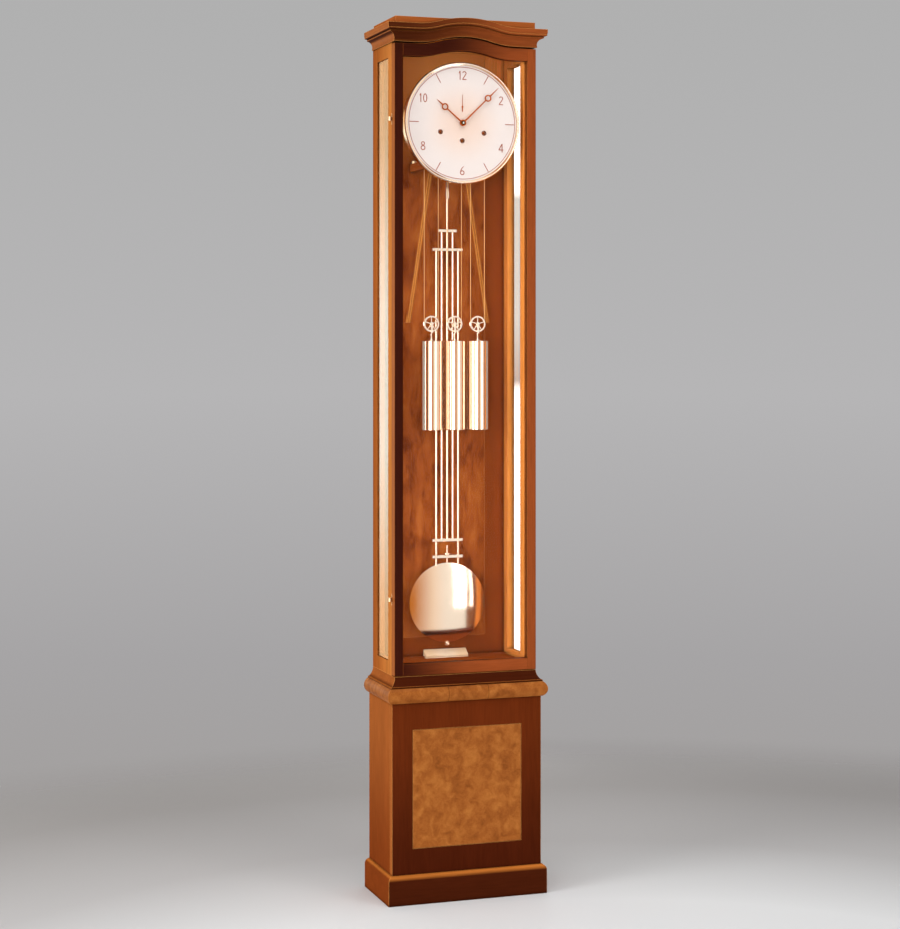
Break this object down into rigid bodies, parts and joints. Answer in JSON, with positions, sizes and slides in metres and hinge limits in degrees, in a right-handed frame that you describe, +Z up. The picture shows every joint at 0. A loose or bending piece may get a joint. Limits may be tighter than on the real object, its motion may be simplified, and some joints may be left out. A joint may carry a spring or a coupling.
{
  "type": "glazed longcase regulator clock",
  "caption": "Tall floor-standing clock with a glazed trunk door, white round dial, cable-hung brass weights, gong rods and a gridiron pendulum over a panelled base.",
  "frame": {"origin": "centre of the footprint at floor level", "axes": "+Z up, the dial and door face -Y, +X to the viewer's right"},
  "size_m": [0.384, 0.192, 2],
  "materials": {
    "case_wood": "polished, oiled reddish brown hardwood",
    "burl_veneer": "lacquered burl veneer",
    "band_veneer": "lacquered cross-grained veneer",
    "glass": "clear float glass, bevelled on the door",
    "brass": "polished and lacquered brass",
    "dial_white": "smooth white lacquer",
    "dial_print": "printed numerals and lines",
    "dark_steel": "blackened and polished steel",
    "steel": "polished steel"
  },
  "bodies": {
    "case": {"plinth_moulding": "case_wood", "base_front_frame": "case_wood", "base_front_panel": "burl_veneer", "base_sides": "case_wood", "base_back": "case_wood", "belt_band": "band_veneer", "belt_cove": "case_wood", "trunk_side_left": "case_wood", "trunk_side_right": "case_wood", "side_glasses": "glass", "back_frame": "case_wood", "back_burl_panel": "burl_veneer", "trunk_floor": "case_wood", "beat_scale": "brass", "frieze_board": "case_wood", "cornice_moulding": "case_wood", "top_board": "case_wood", "seat_board": "case_wood", "seat_fittings": "brass", "hinge_case_leaves": "brass", "door_catch": "steel", "dial_plate": "dial_white", "dial_bezel": "brass", "dial_markings": "dial_print", "winding_eyelets": "brass", "movement_front_plate": "brass", "movement_back_plate": "brass", "gong_blocks": "dark_steel", "gong_rods": "brass", "weight_cables": "brass"},
    "door": {"door_stile_left": "case_wood", "door_stile_right": "case_wood", "door_bottom_rail": "case_wood", "door_top_rail": "case_wood", "door_glass": "glass", "door_glass_beads": "case_wood", "hinge_door_leaves": "brass", "catch_plate": "brass"},
    "minute": {"minute_hand": "brass", "hand_nut": "dark_steel", "centre_arbor": "steel"},
    "hour": {"hour_hand": "brass"},
    "seconds": {"seconds_hand": "brass"},
    "escape": {"escape_wheel": "brass"},
    "anchor": {"anchor": "steel"},
    "pendulum": {"suspension": "brass", "pendulum_rods": "brass", "pendulum_crosspieces": "brass", "pendulum_bob": "brass"},
    "rating": {"rating_nut": "brass"},
    "hammers": {"gong_hammers": "brass"},
    "drum_left": {"winding_drum_left": "brass"},
    "drum_centre": {"winding_drum_centre": "brass"},
    "drum_right": {"winding_drum_right": "brass"},
    "weight_left": {"weight_left": "brass"},
    "weight_centre": {"weight_centre": "brass"},
    "weight_right": {"weight_right": "brass"},
    "pulley_left": {"pulley_left": "brass"},
    "pulley_centre": {"pulley_centre": "brass"},
    "pulley_right": {"pulley_right": "brass"}
  },
  "joints": [
    {"name": "door_hinge", "type": "hinge", "parent": "case", "child": "door", "pos_m": [-0.1742, -0.0515, 1.22625], "axis": [0, 0, -1], "range_deg": [0, 100]},
    {"name": "minute_turn", "type": "hinge", "parent": "case", "child": "minute", "pos_m": [0, -0.054, 1.766], "axis": [0, 1, 0], "continuous": true},
    {"name": "hour_turn", "type": "hinge", "parent": "case", "child": "hour", "pos_m": [0, -0.051, 1.766], "axis": [0, 1, 0], "continuous": true},
    {"name": "escape_turn", "type": "hinge", "parent": "case", "child": "escape", "pos_m": [0, 0.0325, 1.748], "axis": [0, 1, 0], "continuous": true},
    {"name": "seconds_turn", "type": "hinge", "parent": "case", "child": "seconds", "pos_m": [0, -0.049, 1.803], "axis": [0, 1, 0], "continuous": true},
    {"name": "weight_left_travel", "type": "slide", "parent": "case", "child": "weight_left", "axis": [0, 0, 1], "range_m": [-0.49, 0.27], "deforming": ["weight_cables"]},
    {"name": "drum_left_turn", "type": "hinge", "parent": "case", "child": "drum_left", "pos_m": [-0.0526, 0.008, 1.7445], "axis": [0, 1, 0], "continuous": true},
    {"name": "pulley_left_turn", "type": "hinge", "parent": "weight_left", "child": "pulley_left", "pos_m": [-0.0565, 0.008, 1.307], "axis": [0, 1, 0], "continuous": true},
    {"name": "weight_centre_travel", "type": "slide", "parent": "case", "child": "weight_centre", "axis": [0, 0, 1], "range_m": [-0.49, 0.27], "deforming": ["weight_cables"]},
    {"name": "drum_centre_turn", "type": "hinge", "parent": "case", "child": "drum_centre", "pos_m": [0, 0.008, 1.7257], "axis": [0, 1, 0], "continuous": true},
    {"name": "pulley_centre_turn", "type": "hinge", "parent": "weight_centre", "child": "pulley_centre", "pos_m": [0, 0.008, 1.307], "axis": [0, 1, 0], "continuous": true},
    {"name": "weight_right_travel", "type": "slide", "parent": "case", "child": "weight_right", "axis": [0, 0, 1], "range_m": [-0.49, 0.27], "deforming": ["weight_cables"]},
    {"name": "drum_right_turn", "type": "hinge", "parent": "case", "child": "drum_right", "pos_m": [0.0526, 0.008, 1.7445], "axis": [0, 1, 0], "continuous": true},
    {"name": "pulley_right_turn", "type": "hinge", "parent": "weight_right", "child": "pulley_right", "pos_m": [0.0565, 0.008, 1.307], "axis": [0, 1, 0], "continuous": true},
    {"name": "pendulum_swing", "type": "hinge", "parent": "case", "child": "pendulum", "pos_m": [0, 0.061, 1.714], "axis": [0, 1, 0], "range_deg": [-2.5, 2.5]},
    {"name": "anchor_swing", "type": "hinge", "parent": "case", "child": "anchor", "pos_m": [0, 0.041, 1.714], "axis": [0, 1, 0], "range_deg": [-2.5, 2.5]},
    {"name": "rating_turn", "type": "hinge", "parent": "pendulum", "child": "rating", "pos_m": [0, 0.061, 0.561], "axis": [0, 0, 1], "continuous": true},
    {"name": "hammer_lift", "type": "hinge", "parent": "case", "child": "hammers", "pos_m": [0, 0.0438, 1.69], "axis": [1, 0, 0], "range_deg": [-15, 0], "stiffness_Nm_per_rad": 0.05, "springref_deg": 11.46}
  ],
  "couplings": [
    {"joint": "hour_turn", "follows": "minute_turn", "ratio": 0.083333},
    {"joint": "seconds_turn", "follows": "escape_turn", "ratio": 1},
    {"joint": "anchor_swing", "follows": "pendulum_swing", "ratio": 1},
    {"joint": "drum_left_turn", "follows": "weight_left_travel", "rad_per_m": 95.694},
    {"joint": "pulley_left_turn", "follows": "weight_left_travel", "rad_per_m": 58.824},
    {"joint": "drum_centre_turn", "follows": "weight_centre_travel", "rad_per_m": 95.694},
    {"joint": "pulley_centre_turn", "follows": "weight_centre_travel", "rad_per_m": 58.824},
    {"joint": "drum_right_turn", "follows": "weight_right_travel", "rad_per_m": -95.694},
    {"joint": "pulley_right_turn", "follows": "weight_right_travel", "rad_per_m": -58.824}
  ]
}
